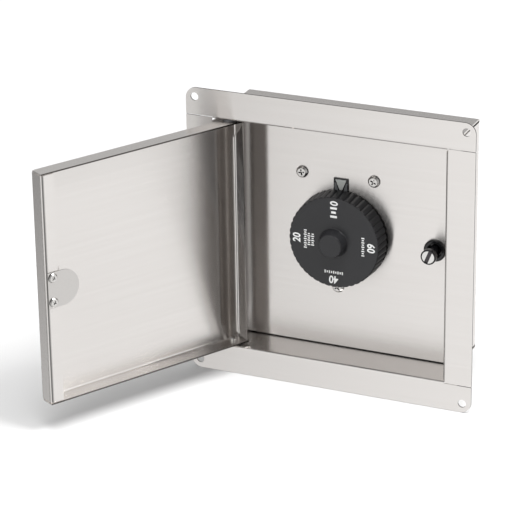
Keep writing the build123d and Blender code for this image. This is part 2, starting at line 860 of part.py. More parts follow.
# ---- mainspring and its post ----
coil_turns = 6
coil_inner = 6.7
coil_outer = 17.2
strip = 0.45
post_radius = 1.3
points_per_turn = 14


def spiral(extra):
    """Points along one face of the mainspring's strip."""
    steps = points_per_turn * coil_turns
    points = []
    for step in range(steps + 1):
        radius = coil_inner + (coil_outer - coil_inner) * step / steps + extra
        points.append(polar(timer_spot, radius, 360 * coil_turns * step / steps))
    return points


with BuildPart() as mainspring:
    with BuildSketch(facing(spring_y + spring_width)):
        with BuildLine():
            near = Spline(*spiral(0))
            far = Spline(*spiral(strip))
            Line(near @ 0, far @ 0)
            Line(near @ 1, far @ 1)
        make_face()
    extrude(amount=spring_width)
save(mainspring.part, "mainspring")

with BuildPart() as spring_post:
    bars(
        post_radius,
        plate_back,
        spring_y + spring_width,
        [(timer_x + coil_outer + strip + post_radius + fit, timer_z)],
    )
save(spring_post.part, "spring_post")

# ---- movement plates, pillars and bushings ----
pillar_spread = 57.0
pillar_radius = 2.6
pillar_tenon = 1.5
pillar_corner = 6.0
pillar_screw = 1.2  # radius of the pillar screws' shanks
pillar_thread = 5.0
pillar_head = 1.8
pillar_spots = [
    (timer_x + a * pillar_spread / 2, timer_z + b * pillar_spread / 2) for a in (-1, 1) for b in (-1, 1)
]
pivot_spots = [first_spot, second_spot, escape_spot, pallet_spot]
near_x = timer_x + 11.2  # the contact blade beside the cam
far_x = timer_x + 15.0
terminal_z = timer_z - 15.5


def plate_holes():
    """Holes shared by both plates: the arbors' pivots, the pillars and the bushing."""
    with Locations(*pivot_spots):
        Circle(pivot_radius + fit, mode=Mode.SUBTRACT)
    with Locations(*pillar_spots):
        Circle(pillar_tenon + fit, mode=Mode.SUBTRACT)
    with Locations(timer_spot):
        Circle(bushing_dia / 2 + fit, mode=Mode.SUBTRACT)


with BuildPart() as movement_front_plate:
    with BuildSketch(facing(plate_back)):
        with Locations(*pillar_spots, *screw_spots):
            Circle(pillar_corner)
        make_hull()
        plate_holes()
        with Locations(*screw_spots):
            Circle(screw_shank / 2 + fit, mode=Mode.SUBTRACT)
    extrude(amount=plate)
save(movement_front_plate.part, "movement_front_plate")

with BuildPart() as movement_rear_plate:
    with BuildSketch(facing(rear_plate_y + plate)):
        with Locations(*pillar_spots):
            Circle(pillar_corner)
        make_hull()
        plate_holes()
        # window for the contact blades' tails
        with Locations(((near_x + far_x) / 2, terminal_z)):
            Rectangle(9.0, 7.0, mode=Mode.SUBTRACT)
    extrude(amount=plate)
save(movement_rear_plate.part, "movement_rear_plate")

with BuildPart() as movement_pillars:
    bars(pillar_radius, plate_back, rear_plate_y, pillar_spots)
    bars(pillar_tenon, panel_back, plate_back, pillar_spots)
    bars(
        pillar_screw + fit,
        rear_plate_y - pillar_thread - 4 * fit,
        rear_plate_y,
        pillar_spots,
        Mode.SUBTRACT,
    )
save(movement_pillars.part, "movement_pillars")

with BuildPart() as pillar_screws:
    bars(pillar_radius + 2 * fit, terminal_y, terminal_y + pillar_head, pillar_spots)
    bars(pillar_screw, rear_plate_y - pillar_thread, terminal_y, pillar_spots)
    with BuildSketch(facing(terminal_y + pillar_head)):
        with Locations(*pillar_spots):
            Rectangle(3 * pillar_radius, 0.8)
    extrude(amount=0.7, mode=Mode.SUBTRACT)
save(pillar_screws.part, "pillar_screws")

bushing_flange = 7.0
bushing_rim = 1.0
bushing_proud = 0.8


def bushing(barrel_front, barrel_back, flange_y):
    """Bearing for the spindle: a barrel, with a flange whose front face is at flange_y."""
    with BuildPart() as bearing:
        bars(bushing_dia / 2, barrel_front, barrel_back, [timer_spot])
        bars(bushing_flange, flange_y, flange_y + bushing_rim, [timer_spot])
        bars(
            spindle_dia / 2 + run_fit,
            barrel_front - sheet,
            barrel_back + sheet,
            [timer_spot],
            Mode.SUBTRACT,
        )
    return bearing.part


save(bushing(panel_y - bushing_proud, plate_back + bushing_rim, plate_back), "spindle_bushing")
save(
    bushing(rear_plate_y - bushing_rim, terminal_y + bushing_proud, rear_plate_y - bushing_rim),
    "rear_bushing",
)

# ---- switch: two blades in a block, the cam works the nearer one ----
blade = 0.4
blade_front = cam_y + 0.2
blade_width = 2.0
blade_back = blade_front + blade_width
blade_low = timer_z - 18.0
blade_top = timer_z + 14.0
tail_width = 5.0
nose = 2.7  # the near blade's fold towards the cam
block_low = timer_z - 20.0
block_high = timer_z - 10.0
terminal_depth = 6.0
button_z = timer_z + 11.0
button_radius = 0.95
button_thick = 1.1
tail_spots = [(near_x + blade / 2, terminal_z), (far_x + blade / 2, terminal_z)]


def blade_strip(path):
    """Section of a springy strip that follows a path."""
    with BuildSketch(facing(blade_back)) as section:
        with BuildLine():
            line = Polyline(*path)
            offset(line, amount=blade, side=Side.RIGHT)
        make_face()
    return section.sketch


near_path = [
    (near_x, blade_low),
    (near_x, timer_z - 4),
    (near_x - nose, timer_z),
    (near_x, timer_z + 4),
    (near_x, blade_top),
]
with BuildPart() as contact_blades:
    extrude(blade_strip(near_path), amount=blade_width)
    extrude(blade_strip([(far_x, blade_low), (far_x, blade_top)]), amount=blade_width)
    # tails that run back through the movement's rear plate
    with BuildSketch(facing(terminal_y + terminal_depth)):
        with Locations(*tail_spots):
            Rectangle(blade, tail_width)
    extrude(amount=terminal_y + terminal_depth - blade_front)
save(contact_blades.part, "contact_blades")

with BuildPart() as contact_buttons:
    for x, hand in ((near_x + blade, 1), (far_x, -1)):
        button_plane = Plane(
            origin=(x, blade_front + blade_width / 2, button_z), x_dir=(0, 1, 0), z_dir=(hand, 0, 0)
        )
        with BuildSketch(button_plane):
            Circle(button_radius)
        extrude(amount=button_thick)
save(contact_buttons.part, "contact_buttons")

block_front = blade_front - 0.6
with BuildPart() as contact_block:
    with BuildSketch(facing(rear_plate_y)):
        with Locations(((near_x + far_x + blade) / 2, (block_low + block_high) / 2)):
            RectangleRounded(9.0, block_high - block_low, 1.0)
    extrude(amount=rear_plate_y - block_front)
    with BuildSketch(facing(rear_plate_y)):
        for x, z in tail_spots:
            with Locations((x, (blade_low + block_high) / 2)):
                Rectangle(blade + 2 * fit, block_high - blade_low + 2 * fit)
    extrude(amount=rear_plate_y - blade_front + fit, mode=Mode.SUBTRACT)
save(contact_block.part, "contact_block")

terminal_reach = 8.2
terminal_middle = (near_x + far_x + blade) / 2
terminal_spots = [(terminal_middle + hand * terminal_reach, terminal_z) for hand in (-1, 1)]
terminal_screw = 3.4
terminal_plate = 0.8
with BuildPart() as terminal_block:
    with BuildSketch(facing(terminal_y + terminal_depth)):
        with Locations((terminal_middle, terminal_z)):
            RectangleRounded(25.0, 12.0, 1.5)
    extrude(amount=terminal_depth)
    chamfer(terminal_block.faces().sort_by(Axis.Y)[-1].edges(), 0.6)
    with BuildSketch(facing(terminal_y + terminal_depth)):
        with Locations(*tail_spots):
            Rectangle(blade + 2 * fit, tail_width + 4 * fit)
        with Locations(*terminal_spots):
            Circle(terminal_screw / 2 + fit)
    extrude(amount=terminal_depth, mode=Mode.SUBTRACT)
save(terminal_block.part, "terminal_block")

with BuildPart() as terminal_plates:
    with BuildSketch(facing(terminal_y + terminal_depth + terminal_plate)):
        with Locations(*terminal_spots):
            Rectangle(6.6, 8.0)
            Circle(terminal_screw / 2 + fit, mode=Mode.SUBTRACT)
    extrude(amount=terminal_plate)
save(terminal_plates.part, "terminal_plates")

with BuildPart() as terminal_screws:
    cross_screws(
        facing_back(terminal_y + terminal_depth + terminal_plate),
        [(x, -z) for x, z in terminal_spots],
        head=6.0,
        rim=1.2,
        crown=0.8,
        shank=terminal_screw,
        length=5.6,
        recess=3.2,
    )
save(terminal_screws.part, "terminal_screws")

# ---- cable entry and earth screw ----
gland_bore = 6.5
gland_reach = 14.0
gland_flange = 6.0
gland_inner = 6.5  # thread standing inside the box
gland_hex = 15.0
below = Plane(origin=(gland_x, gland_y, -half_box), x_dir=(1, 0, 0), z_dir=(0, 0, -1))
with BuildPart() as cable_gland:
    with BuildSketch(below):
        RegularPolygon(gland_hex, 6)
    extrude(amount=gland_flange)
    with BuildSketch(below.offset(gland_flange)):
        Circle(gland_hole / 2)
    extrude(amount=gland_reach - gland_flange, taper=12)
    with BuildSketch(below):
        Circle(gland_hole / 2 - 2 * fit)
    extrude(amount=-(sheet + gland_inner))
    with BuildSketch(below.offset(gland_reach)):
        Circle(gland_bore)
    extrude(amount=-(gland_reach + sheet + gland_inner), mode=Mode.SUBTRACT)
save(cable_gland.part, "cable_gland")

with BuildPart() as gland_nut:
    with BuildSketch(below.offset(-sheet)):
        RegularPolygon(gland_hex, 6)
        Circle(gland_hole / 2 - fit, mode=Mode.SUBTRACT)
    extrude(amount=-4.0)
save(gland_nut.part, "gland_nut")

ground_hex = 4.4
ground_washer = 1.0
ground_head = 3.0
head_face = back_inside - ground_washer - ground_head
with BuildPart() as ground_screw:
    bars(ground_hex + 1.1, back_inside - ground_washer, back_inside, [ground_spot])
    with BuildSketch(facing(back_inside - ground_washer)):
        with Locations(ground_spot):
            RegularPolygon(ground_hex, 6)
    extrude(amount=ground_head)
    bars(ground_dia / 2 - fit, back_inside, box_depth, [ground_spot])
    with BuildSketch(facing(head_face)):
        with Locations(ground_spot):
            Rectangle(2 * ground_hex, ground_washer)
    extrude(amount=-ground_washer, mode=Mode.SUBTRACT)
save(ground_screw.part, "ground_screw")
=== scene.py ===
import json
from math import cos, pi, radians, sin

import bmesh
import bpy
from mathutils import Matrix, Vector


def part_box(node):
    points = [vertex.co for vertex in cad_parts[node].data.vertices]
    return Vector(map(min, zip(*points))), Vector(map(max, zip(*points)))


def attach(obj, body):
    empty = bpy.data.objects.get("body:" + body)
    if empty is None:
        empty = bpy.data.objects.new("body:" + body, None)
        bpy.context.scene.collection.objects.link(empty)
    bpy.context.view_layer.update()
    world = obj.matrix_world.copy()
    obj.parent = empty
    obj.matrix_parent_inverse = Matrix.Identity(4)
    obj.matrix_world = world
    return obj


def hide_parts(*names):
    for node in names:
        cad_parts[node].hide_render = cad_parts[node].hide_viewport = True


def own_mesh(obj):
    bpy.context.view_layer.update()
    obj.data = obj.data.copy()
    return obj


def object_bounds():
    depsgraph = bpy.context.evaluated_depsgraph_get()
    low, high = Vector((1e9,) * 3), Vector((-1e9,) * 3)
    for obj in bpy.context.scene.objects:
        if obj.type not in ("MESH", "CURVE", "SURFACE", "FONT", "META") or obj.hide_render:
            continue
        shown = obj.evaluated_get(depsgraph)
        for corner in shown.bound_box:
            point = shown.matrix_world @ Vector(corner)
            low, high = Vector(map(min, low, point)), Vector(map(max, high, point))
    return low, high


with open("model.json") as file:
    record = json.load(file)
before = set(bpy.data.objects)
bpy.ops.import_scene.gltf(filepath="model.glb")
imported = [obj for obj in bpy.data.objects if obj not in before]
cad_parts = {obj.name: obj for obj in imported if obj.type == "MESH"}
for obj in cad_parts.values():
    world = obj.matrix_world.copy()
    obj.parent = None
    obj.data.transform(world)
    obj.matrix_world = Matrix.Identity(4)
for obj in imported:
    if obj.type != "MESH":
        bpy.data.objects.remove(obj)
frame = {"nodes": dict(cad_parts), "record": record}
cad_box = [[float(v) for v in corner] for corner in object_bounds()]
joints = {joint["name"]: joint for joint in frame["record"]["behaviour"]["joints"]}
scene = bpy.context.scene
MM = 0.001


# ---- camera ----
CAMERA_PLACE = (0.61714, -1.49863, 0.66826)
CAMERA_YAW = radians(24.086)
CAMERA_PITCH = radians(22.533)
CAMERA_ROLL = radians(-0.84)
SENSOR_WIDTH = 36
FOCAL_LENGTH = 186.2
FAR_CLIP = 50


def add_camera():
    """Camera up and to the right of the box, looking down into it."""
    forward = Vector((-sin(CAMERA_YAW), cos(CAMERA_YAW), 0)) * cos(CAMERA_PITCH)
    forward.z = -sin(CAMERA_PITCH)
    level = Vector((cos(CAMERA_YAW), sin(CAMERA_YAW), 0))
    raised = level.cross(forward)
    right = level * cos(CAMERA_ROLL) + raised * sin(CAMERA_ROLL)
    up = raised * cos(CAMERA_ROLL) - level * sin(CAMERA_ROLL)
    data = bpy.data.cameras.new("camera")
    data.sensor_width = SENSOR_WIDTH
    data.lens = FOCAL_LENGTH
    data.clip_end = FAR_CLIP
    camera = bpy.data.objects.new("camera", data)
    scene.collection.objects.link(camera)
    turn = Matrix((right, up, -forward)).transposed().to_4x4()
    camera.matrix_world = Matrix.Translation(CAMERA_PLACE) @ turn
    scene.camera = camera


add_camera()


# ---- node helpers ----
CREVICE_CLOSED = 0.35  # openness at which a hollow is fully shaded
CREVICE_SAMPLES = 8
GRAIN_TILT = 0.03  # a little off the sheet's own direction, so that no face is parallel to the grain


class Nodes:
    """A node tree under construction: add() makes a node, link() joins two sockets."""

    def __init__(self, tree):
        self.tree = tree

    def add(self, kind, **settings):
        node = self.tree.nodes.new("ShaderNode" + kind)
        for key, value in settings.items():
            setattr(node, key, value)
        return node

    def link(self, source, target):
        self.tree.links.new(source, target)

    def feed(self, target, value):
        """Link a socket to another socket, or give it a fixed value."""
        if isinstance(value, bpy.types.NodeSocket):
            self.link(value, target)
        else:
            target.default_value = value

    def math(self, operation, first, second=0.0):
        node = self.add("Math", operation=operation)
        self.feed(node.inputs[0], first)
        self.feed(node.inputs[1], second)
        return node.outputs[0]

    def vector_math(self, operation, first, second=None):
        """Vector operation; the result is the first output that is switched on."""
        node = self.add("VectorMath", operation=operation)
        self.feed(node.inputs[0], first)
        if second is not None:
            self.feed(node.inputs[1], second)
        return next(output for output in node.outputs if output.enabled)

    def split(self, vector):
        """X, Y and Z outputs of a vector, by name."""
        node = self.add("SeparateXYZ")
        self.link(vector, node.inputs[0])
        return node.outputs

    def ramp(self, value, low, high, start=0.0, end=1.0):
        """Map a value from start..end to low..high, held at both ends."""
        node = self.add("MapRange")
        node.inputs["From Min"].default_value = start
        node.inputs["From Max"].default_value = end
        node.inputs["To Min"].default_value = low
        node.inputs["To Max"].default_value = high
        self.link(value, node.inputs["Value"])
        return node.outputs[0]

    def mix(self, factor, first, second, blend="MIX"):
        """Mix two colours, each of them a socket or fixed."""
        node = self.add("Mix", data_type="RGBA", blend_type=blend)
        self.feed(node.inputs["Factor"], factor)
        self.feed(node.inputs["A"], first)
        self.feed(node.inputs["B"], second)
        return node.outputs["Result"]

    def grey_steps(self, value, steps):
        """Grey level that follows a 0..1 value smoothly through pairs of place and level."""
        node = self.add("ValToRGB")
        node.color_ramp.interpolation = "EASE"
        points = node.color_ramp.elements
        while len(points) < len(steps):
            points.new(0.5)
        for point, (place, level) in zip(points, steps):
            point.position = place
            point.color = (level, level, level, 1)
        self.link(value, node.inputs[0])
        return node.outputs["Color"]


class Shader(Nodes):
    """A Principled material under construction."""

    def __init__(self, name):
        self.material = bpy.data.materials.new(name)
        self.material.use_nodes = True
        super().__init__(self.material.node_tree)
        self.surface = self.tree.nodes["Principled BSDF"]

    def set(self, **sockets):
        """Fix surface sockets by name, with underscores for spaces."""
        for key, value in sockets.items():
            self.surface.inputs[key.replace("_", " ")].default_value = value

    def drive(self, socket, value):
        self.link(value, self.surface.inputs[socket])

    def object_point(self, turn=0.0):
        """Object coordinates in metres, turned about Z."""
        mapping = self.add("Mapping")
        mapping.inputs["Rotation"].default_value = (0, 0, turn)
        self.link(self.add("TexCoord").outputs["Object"], mapping.inputs["Vector"])
        return mapping.outputs[0]

    def noise(self, point, waves, detail=2.0):
        """Noise with so many waves per metre, one number or one for each axis."""
        mapping = self.add("Mapping")
        mapping.inputs["Scale"].default_value = waves if isinstance(waves, tuple) else (waves, waves, waves)
        self.link(point, mapping.inputs["Vector"])
        node = self.add("TexNoise")
        node.inputs["Scale"].default_value = 1.0
        node.inputs["Detail"].default_value = detail
        self.link(mapping.outputs[0], node.inputs["Vector"])
        return node.outputs["Fac"]

    def between(self, vector, kind, source, target):
        """A vector or normal taken from one space to another."""
        node = self.add("VectorTransform", vector_type=kind, convert_from=source, convert_to=target)
        self.feed(node.inputs[0], vector)
        return node.outputs[0]

    def normal(self):
        """Surface normal in world axes."""
        return self.add("NewGeometry").outputs["Normal"]

    def towards(self, direction):
        """How far the surface faces a direction in the node's own axes, from -1 to 1."""
        own = self.between(self.normal(), "NORMAL", "WORLD", "OBJECT")
        return self.vector_math("DOT_PRODUCT", own, direction)

    def across_grain(self, turn):
        """World direction in the surface, at right angles to a grain along X turned about Z."""
        along = Vector((cos(turn), sin(turn), 0))
        beside = Vector((-sin(turn), cos(turn), 0))
        grain = self.between(along + beside * GRAIN_TILT, "VECTOR", "OBJECT", "WORLD")
        return self.vector_math("NORMALIZE", self.vector_math("CROSS_PRODUCT", self.normal(), grain))

    def colours(self, value, low, high):
        """Blend two colours by a 0..1 value into the base colour."""
        self.drive("Base Color", self.mix(value, (*low, 1), (*high, 1)))

    def darken(self, mask, colour):
        """Replace the base colour where the mask is 1."""
        before = self.surface.inputs["Base Color"].links[0].from_socket
        self.drive("Base Color", self.mix(mask, before, (*colour, 1)))

    def crevices(self, reach, colour, open_from):
        """Painted shade: darken the base colour in the node's own hollows that are narrower than the reach.
        """
        node = self.add("AmbientOcclusion", only_local=True, samples=CREVICE_SAMPLES)
        node.inputs["Distance"].default_value = reach
        closed = self.ramp(node.outputs["AO"], 1.0, 0.0, start=CREVICE_CLOSED, end=open_from)
        self.darken(closed, colour)

    def bump(self, height, strength, distance):
        node = self.add("Bump")
        node.inputs["Strength"].default_value = strength
        node.inputs["Distance"].default_value = distance
        self.link(height, node.inputs["Height"])
        self.drive("Normal", node.outputs[0])


# ---- sheet steel ----
SHEET = 1.0 * MM
STEEL_DULL = (0.735, 0.705, 0.68)
STEEL_BRIGHT = (0.80, 0.775, 0.755)
STEEL_EDGE = (0.10, 0.09, 0.085)
FINE_GRAIN = (60, 4200, 4200)  # waves per metre along, across and up
STREAKS = (7, 420, 420)
STREAK_SHARE = 0.6  # the rest of the tone comes from the clouds
CLOUDS = 11
GRAIN_ROUGHNESS = (0.20, 0.24)
CLOUD_ROUGHNESS = (-0.012, 0.015)
STREAK_BUMP = 0.025
STREAK_HEIGHT = 0.03 * MM
FLANGE_RIM = 10.0 * MM  # width of the flange's border that holds its edges and holes
EDGE_DEPTH = 1.2 * SHEET
SQUARE_ON = 0.9  # a face this much towards a direction faces it
SIDEWAYS = 0.5  # a face less than this towards a direction is turned away from it
DOOR_TURN = -radians(joints["door_hinge"]["range_deg"][1])
DOOR_NORMAL = (-sin(DOOR_TURN), cos(DOOR_TURN), 0)  # out of the open door's inner face
FRONT_TO_BACK = (0, 1, 0)


def brushed_steel(name, grain_turn, edge_mask=None):
    """Satin stainless sheet with a horizontal grain that smears reflections across the grain."""
    shader = Shader(name)
    point = shader.object_point(-grain_turn)
    fine = shader.noise(point, FINE_GRAIN)
    streaks = shader.noise(point, STREAKS, detail=3.0)
    clouds = shader.noise(point, CLOUDS)
    streak_tone = shader.ramp(streaks, 0.0, STREAK_SHARE)
    cloud_tone = shader.ramp(clouds, 0.0, 1.0 - STREAK_SHARE)
    shader.colours(shader.math("ADD", streak_tone, cloud_tone), STEEL_DULL, STEEL_BRIGHT)
    if edge_mask:
        shader.darken(edge_mask(shader, point), STEEL_EDGE)
    grain_rough = shader.ramp(fine, *GRAIN_ROUGHNESS)
    cloud_rough = shader.ramp(clouds, *CLOUD_ROUGHNESS)
    shader.drive("Roughness", shader.math("ADD", grain_rough, cloud_rough))
    shader.bump(streaks, STREAK_BUMP, STREAK_HEIGHT)
    shader.set(Metallic=1.0, Anisotropic=1.0)
    shader.drive("Tangent", shader.across_grain(grain_turn))
    return shader.material


def near_end(shader, coordinate, low, high, border):
    """1 where a coordinate is within a border of either end of its range, else 0."""
    offset = shader.math("SUBTRACT", coordinate, (low + high) / 2)
    distance = shader.math("ABSOLUTE", offset)
    return shader.math("GREATER_THAN", distance, (high - low) / 2 - border)


def door_edges(shader, point):
    """1 on the raw edges of the door's top and bottom walls, else 0."""
    low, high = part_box("door_tray")
    outer = near_end(shader, shader.split(point)["Z"], low[2], high[2], SHEET)
    facing = shader.math("GREATER_THAN", shader.towards(DOOR_NORMAL), SQUARE_ON)
    return shader.math("MULTIPLY", outer, facing)


def flange_edges(shader, point):
    """1 on the raw outer edges of the flange and on the walls of its holes, else 0."""
    low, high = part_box("wall_box")
    axes = shader.split(point)
    rim_x = near_end(shader, axes["X"], low[0], high[0], FLANGE_RIM)
    rim_z = near_end(shader, axes["Z"], low[2], high[2], FLANGE_RIM)
    rim = shader.math("MAXIMUM", rim_x, rim_z)
    front = shader.math("LESS_THAN", axes["Y"], low[1] + EDGE_DEPTH)
    lean = shader.math("ABSOLUTE", shader.towards(FRONT_TO_BACK))
    sideways = shader.math("LESS_THAN", lean, SIDEWAYS)
    return shader.math("MULTIPLY", shader.math("MULTIPLY", rim, front), sideways)


steel_plain = brushed_steel("steel_sheet", 0.0)
steel_flange = brushed_steel("steel_flange_sheet", 0.0, flange_edges)
steel_door = brushed_steel("steel_door_sheet", DOOR_TURN, door_edges)


# ---- other metals ----
# colour of the painted shade on the flanks and in the recesses of fixings
PAINTED_SHADE = (0.05, 0.045, 0.04)
MARKS = 900  # waves per metre
MARK_BUMP = 0.08
MARK_HEIGHT = 0.05 * MM
SMOOTHER = -0.07  # how far the marks change the roughness, down and up
ROUGHER = 0.1
FLANK_LEAN = 0.6
RECESS_WIDTH = 0.7 * MM
RECESS_OPEN = 0.9


def plated_metal(name, low, high, roughness, axis=None):
    """Plated or machined metal with faint handling marks; given an axis, painted shade darkens its flanks and
    recesses.
    """
    shader = Shader(name)
    marks = shader.noise(shader.object_point(), MARKS, detail=4.0)
    shader.colours(marks, low, high)
    shader.drive("Roughness", shader.ramp(marks, roughness + SMOOTHER, roughness + ROUGHER))
    if axis:
        # painted shade: flanks turned away from the axis, and recesses, are darkened
        lean = shader.math("ABSOLUTE", shader.towards(axis))
        shader.darken(shader.math("LESS_THAN", lean, FLANK_LEAN), PAINTED_SHADE)
        shader.crevices(RECESS_WIDTH, PAINTED_SHADE, RECESS_OPEN)
    shader.bump(marks, MARK_BUMP, MARK_HEIGHT)
    shader.set(Metallic=1.0)
    return shader.material


bright_metal = plated_metal("plated_metal", (0.70, 0.69, 0.67), (0.84, 0.83, 0.81), 0.22)
panel_fixing = plated_metal("panel_fixing", (0.62, 0.60, 0.58), (0.80, 0.79, 0.77), 0.24, FRONT_TO_BACK)
door_fixing = plated_metal("door_fixing", (0.66, 0.64, 0.62), (0.80, 0.79, 0.77), 0.24, DOOR_NORMAL)
strike_metal = plated_metal("strike_metal", (0.62, 0.60, 0.58), (0.70, 0.68, 0.66), 0.30, DOOR_NORMAL)
dark_steel = plated_metal("spring_steel", (0.28, 0.29, 0.31), (0.42, 0.43, 0.45), 0.35)
brass = plated_metal("brass", (0.66, 0.49, 0.22), (0.80, 0.63, 0.32), 0.28)
magnet = plated_metal("magnet", (0.08, 0.075, 0.08), (0.16, 0.15, 0.155), 0.5)


# ---- plastics ----
# colour of the painted shade in the plastic's hollows
PLASTIC_PAINTED_SHADE = (0.004, 0.004, 0.005)
PLASTIC_OPEN = 0.98
PLASTIC_WEAR = 60  # waves per metre
WEAR_ROUGHNESS = 0.06
TEXTURE_BUMP = 0.35
PLASTIC_IOR = 1.48
# widest groove of the knob that gets painted shade
KNOB_GROOVE = 2.4 * MM


def moulded_plastic(name, low, high, roughness, texture, depth, hollow=None):
    """Moulded plastic with a fine texture and slight wear in its gloss, with painted shade in hollows up to a
    size.
    """
    shader = Shader(name)
    point = shader.object_point()
    fine = shader.noise(point, texture, detail=3.0)
    wear = shader.noise(point, PLASTIC_WEAR)
    shader.colours(wear, low, high)
    shader.drive("Roughness", shader.ramp(wear, roughness - WEAR_ROUGHNESS, roughness + WEAR_ROUGHNESS))
    # painted shade in hollows up to the given size
    if hollow:
        shader.crevices(hollow, PLASTIC_PAINTED_SHADE, PLASTIC_OPEN)
    shader.bump(fine, TEXTURE_BUMP, depth)
    shader.set(IOR=PLASTIC_IOR)
    return shader.material


knob_black = moulded_plastic(
    "knob_plastic",
    (0.018, 0.018, 0.020),
    (0.025, 0.025, 0.027),
    roughness=0.34,
    texture=1800,
    depth=0.02 * MM,
    hollow=KNOB_GROOVE,
)
latch_black = moulded_plastic(
    "latch_plastic",
    (0.006, 0.006, 0.007),
    (0.012, 0.012, 0.013),
    roughness=0.20,
    texture=900,
    depth=0.01 * MM,
)
phenolic = moulded_plastic(
    "phenolic",
    (0.13, 0.07, 0.04),
    (0.19, 0.11, 0.065),
    roughness=0.4,
    texture=700,
    depth=0.03 * MM,
)
gland_grey = moulded_plastic(
    "gland_plastic",
    (0.11, 0.11, 0.115),
    (0.15, 0.15, 0.155),
    roughness=0.5,
    texture=800,
    depth=0.03 * MM,
)


# ---- inks, and the tag's painted reflection ----
INK_PATCHES = 1500  # waves per metre
INK_DIMMER = 0.86
INK_ROUGHNESS = (0.45, 0.65)
INK_BUMP = 0.2
INK_GRAIN = 0.02 * MM


def printed(name, colour):
    """Screen-printed ink with uneven coverage; the same finish also makes the tag's painted reflection."""
    shader = Shader(name)
    patches = shader.noise(shader.object_point(), INK_PATCHES)
    shader.colours(patches, [channel * INK_DIMMER for channel in colour], colour)
    shader.drive("Roughness", shader.ramp(patches, *INK_ROUGHNESS))
    shader.bump(patches, INK_BUMP, INK_GRAIN)
    return shader.material


ink_white = printed("ink_white", (0.90, 0.91, 0.90))
ink_grey = printed("ink_grey", (0.55, 0.57, 0.55))
# painted reflection: grey standing for the sheen on the tag's glossy black face
tag_painted_reflection = printed("tag_painted_reflection", (0.15, 0.155, 0.16))


# ---- materials of the CAD nodes ----
SLOT_MATERIALS = {
    "stainless": steel_plain,
    "plated": bright_metal,
    "knob_plastic": knob_black,
    "latch_plastic": latch_black,
    "magnet": magnet,
    "index_grey": ink_grey,
    "brass": brass,
    "spring_steel": dark_steel,
    "insulator": phenolic,
    "gland_plastic": gland_grey,
}
NODE_MATERIALS = {
    "door_tray": steel_door,
    "wall_box": steel_flange,
    "strike_plate": strike_metal,
    "strike_screws": door_fixing,
    "timer_screws": panel_fixing,
}


def dress_cad():
    """Give every carried-over CAD node its own material, or the one for its slot in the record."""
    for entry in frame["record"]["subparts"]:
        node = frame["nodes"][entry["node"]]
        material = NODE_MATERIALS.get(entry["node"], SLOT_MATERIALS[entry["material_slot"]])
        node.data.materials.clear()
        node.data.materials.append(material)


dress_cad()


# ---- pieces ----
def add_piece(name, mesh, body):
    """A visible piece that rides on a body, in the finish its mesh already has."""
    piece = bpy.data.objects.new(name, mesh)
    scene.collection.objects.link(piece)
    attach(piece, body)
    return piece


def finished_mesh(name, shape, material):
    """Mesh of a finished bmesh shape, in one material."""
    mesh = bpy.data.meshes.new(name)
    shape.to_mesh(mesh)
    shape.free()
    mesh.materials.append(material)
    return mesh


# ---- dial markings ----
INK = 0.12 * MM  # thickness of printed or inlaid marks
RIM_DEPTH = 13.0 * MM  # the dial's face in front of the back of its rim
NUMBER_SIZE = 7.4 * MM
NUMBER_WEIGHT = 0.025
NUMBER_SLANT = 0.06
NUMBER_WIDTH = 0.88
NUMBER_RADIUS = 26.4 * MM
ZERO_RADIUS = 28.2 * MM
TICK_PITCH = 1.55 * MM
TICK_HEIGHT = 2.1 * MM
TICK_WIDTH = 0.52  # of the pitch
SHORT_TICK = 0.7  # of the height
BAR_COUNT = 3
BAR_PITCH = 3.0 * MM
BAR_HEIGHT = 4.8 * MM
BARS_RADIUS = 21.6 * MM
# number, its turn round the dial in degrees, and the radius in mm and count of each row of ticks
DIAL_MARKS = (
    ("20", -90, ((20.4, 9), (17.8, 6), (15.1, 6))),
    ("40", 180, ((21.3, 9),)),
    ("60", 90, ((20.9, 9),)),
)
QUARTER_TURN = pi / 2


def on_dial(centre, turn):
    """Placement on the dial's face at a point in X and Z, turned clockwise."""
    face_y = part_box("dial_knob")[1][1] - RIM_DEPTH
    return Matrix.Translation((centre.x, face_y, centre.y)) @ Matrix.Rotation(turn, 4, "Y")


def add_number(name, words, centre, turn):
    """Raised flat number on the dial's face."""
    curve = bpy.data.curves.new(name, "FONT")
    curve.body = words
    curve.size = NUMBER_SIZE
    curve.align_x = "CENTER"
    curve.align_y = "CENTER"
    curve.extrude = INK / 2
    curve.offset = NUMBER_SIZE * NUMBER_WEIGHT
    curve.shear = NUMBER_SLANT
    text = bpy.data.objects.new(name, curve)
    scene.collection.objects.link(text)
    mesh = bpy.data.meshes.new_from_object(text.evaluated_get(bpy.context.evaluated_depsgraph_get()))
    bpy.data.objects.remove(text)
    upright = Matrix.Rotation(QUARTER_TURN, 4, "X") @ Matrix.Scale(NUMBER_WIDTH, 4, (1, 0, 0))
    mesh.transform(on_dial(centre, turn) @ upright)
    mesh.materials.append(ink_white)
    add_piece(name, mesh, "dial")


def add_ticks(name, centre, turn, count, pitch, height):
    """A row of fine upright ticks, long and short in turn, like the divisions of a scale."""
    shape = bmesh.new()
    for step in range(count):
        along = (step - (count - 1) / 2) * pitch
        tall = height if step % 2 == 0 else height * SHORT_TICK
        tick = bmesh.ops.create_cube(shape, size=1.0)["verts"]
        bmesh.ops.scale(shape, verts=tick, vec=(pitch * TICK_WIDTH, INK, tall))
        bmesh.ops.translate(shape, verts=tick, vec=(along, 0, 0))
    mesh = finished_mesh(name, shape, ink_white)
    mesh.transform(on_dial(centre, turn))
    add_piece(name, mesh, "dial")


